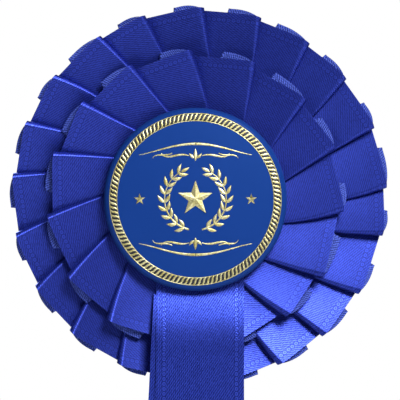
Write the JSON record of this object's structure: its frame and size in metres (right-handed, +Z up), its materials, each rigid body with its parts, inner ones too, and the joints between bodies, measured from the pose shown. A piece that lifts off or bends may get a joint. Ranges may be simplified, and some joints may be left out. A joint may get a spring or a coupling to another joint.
{
  "type": "award rosette",
  "caption": "Two-tier award rosette of knife-pleated satin ribbon with a domed button badge, two hanging tails and a safety brooch pin on its back card.",
  "frame": {"origin": "middle of the brooch pin wire, where the garment holds the rosette", "axes": "+X to the viewer's right, +Y towards the wearer, +Z up; the badge faces -Y and the tails hang down -Z"},
  "size_m": [0.1029, 0.0243, 0.2882],
  "materials": {
    "satin": "royal blue woven satin ribbon, glossy face and matt twill reverse",
    "film": "clear gloss film over blue print",
    "print": "blue print with gold border and emblem",
    "tinplate": "bright tinplate",
    "card": "grey board",
    "back_card": "white lined board",
    "glue": "set hot-melt glue",
    "tape": "adhesive foam",
    "staple_wire": "galvanised wire",
    "nickel": "bright nickel plate"
  },
  "bodies": {
    "rosette": {"back_card": "back_card", "back_card_tape": "tape", "outer_tier_card": "card", "outer_tier_ribbon": "satin", "tier_glue_puck": "glue", "inner_tier_card": "card", "inner_tier_ribbon": "satin", "badge_glue_puck": "glue", "tails_fold": "satin", "tail_staple": "staple_wire", "badge_film": "film", "badge_print": "print", "badge_shell": "tinplate", "badge_back_plate": "tinplate", "brooch_pad": "tape", "brooch_bar": "nickel", "brooch_rivet": "nickel", "outer_staple_1": "staple_wire", "outer_staple_2": "staple_wire", "outer_staple_3": "staple_wire", "outer_staple_4": "staple_wire", "outer_staple_5": "staple_wire", "outer_staple_6": "staple_wire", "outer_staple_7": "staple_wire", "inner_staple_1": "staple_wire", "inner_staple_2": "staple_wire", "inner_staple_3": "staple_wire", "inner_staple_4": "staple_wire", "inner_staple_5": "staple_wire"},
    "rear_tail": {"tail_rear": "satin"},
    "front_tail": {"tail_front": "satin"},
    "pin": {"brooch_pin": "nickel"},
    "catch": {"brooch_catch_barrel": "nickel"}
  },
  "joints": [
    {"name": "tails_lift", "type": "hinge", "parent": "rosette", "child": "rear_tail", "pos_m": [0, -0.01567, -0.04235], "axis": [-1, 0, 0], "range_deg": [0, 60]},
    {"name": "front_tail_lift", "type": "hinge", "parent": "rear_tail", "child": "front_tail", "pos_m": [0, -0.01567, -0.04235], "axis": [-1, 0, 0], "range_deg": [0, 30]},
    {"name": "pin_swing", "type": "hinge", "parent": "rosette", "child": "pin", "pos_m": [-0.017, 0, 0], "axis": [0, 0, 1], "range_deg": [0, 80]},
    {"name": "catch_turn", "type": "hinge", "parent": "rosette", "child": "catch", "pos_m": [0.0173, 0, 0], "axis": [1, 0, 0], "range_deg": [0, 120]}
  ]
}
